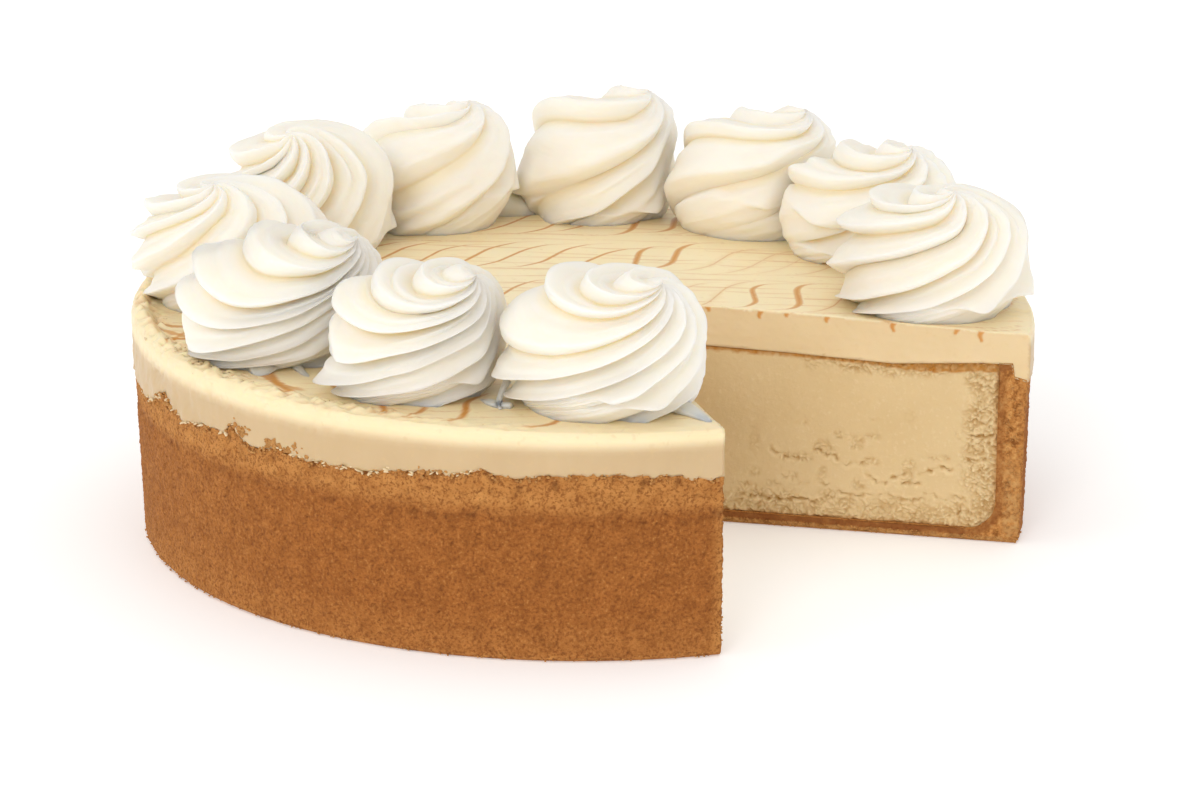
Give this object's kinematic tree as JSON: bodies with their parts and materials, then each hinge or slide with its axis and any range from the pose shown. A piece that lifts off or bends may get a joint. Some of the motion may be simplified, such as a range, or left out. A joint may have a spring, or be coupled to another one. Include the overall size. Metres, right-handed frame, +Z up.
{
  "type": "caramel cheesecake",
  "caption": "Round caramel cheesecake with a crumb crust, a mousse top and a ring of piped cream swirls, with one wide slice missing.",
  "frame": {"origin": "on the axis of the round, on the flat underside of the crust", "axes": "+Z up through the cake; the missing slice opens between +X and -Y; -Y faces the side the cake is seen from"},
  "size_m": [0.2586, 0.2586, 0.1054],
  "materials": {
    "crumb_crust": "baked golden brown crumb, dry and grainy",
    "baked_filling": "dense baked cream cheese, matt with small pores",
    "caramel_mousse": "smooth set mousse, soft sheen",
    "whipped_cream": "piped whipped cream, soft sheen"
  },
  "bodies": {
    "root": {"crust": "crumb_crust", "filling": "baked_filling", "mousse": "caramel_mousse", "swirl_01": "whipped_cream", "swirl_02": "whipped_cream", "swirl_03": "whipped_cream", "swirl_04": "whipped_cream", "swirl_05": "whipped_cream", "swirl_06": "whipped_cream", "swirl_07": "whipped_cream", "swirl_08": "whipped_cream", "swirl_09": "whipped_cream", "swirl_10": "whipped_cream"}
  },
  "joints": []
}
